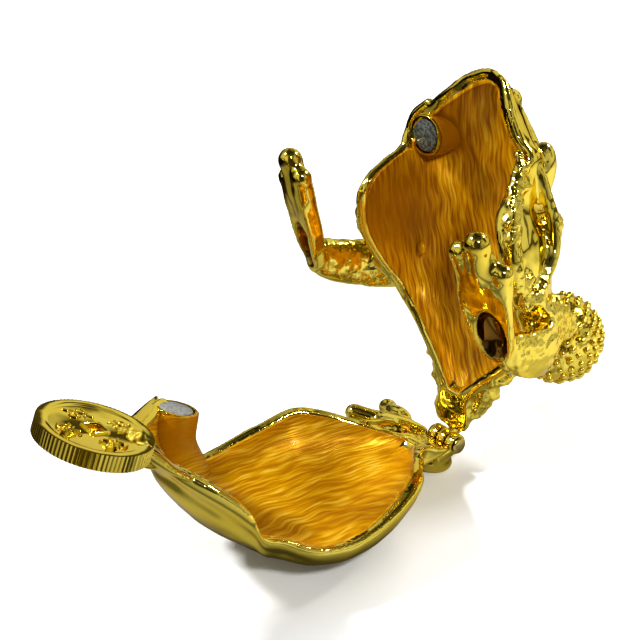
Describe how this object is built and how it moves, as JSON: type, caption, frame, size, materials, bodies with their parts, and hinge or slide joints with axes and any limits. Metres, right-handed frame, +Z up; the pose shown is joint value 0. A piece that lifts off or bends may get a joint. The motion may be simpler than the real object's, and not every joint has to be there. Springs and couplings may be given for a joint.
{
  "type": "hinged trinket box in the form of a three-legged money toad with a coin in its mouth",
  "caption": "Gilt cast trinket box shaped as a squatting toad holding a coin, its back hinged at the tail as a lid that magnets hold shut, both halves hollow and enamelled inside.",
  "frame": {"origin": "middle of the flat under the belly, on the surface that the toad stands on", "axes": "+Z up, -Y the way the toad faces, +X towards the toad's left; the hinge axis runs along X"},
  "size_m": [0.0476, 0.0933, 0.0634],
  "materials": {
    "gilt_metal": "polished gold plating over cast zinc alloy",
    "pin_metal": "plated brass wire",
    "magnet": "plated sintered magnet, dull",
    "enamel": "amber pearl enamel lining, glossy"
  },
  "bodies": {
    "base": {"base_casting": "gilt_metal", "hinge_pin": "pin_metal", "base_magnet": "magnet"},
    "lid": {"lid_casting": "gilt_metal", "lid_magnet": "magnet"}
  },
  "joints": [
    {"name": "lid_hinge", "type": "hinge", "parent": "base", "child": "lid", "pos_m": [0, 0.026, 0.0042], "axis": [1, 0, 0], "range_deg": [0, 73.4]}
  ]
}
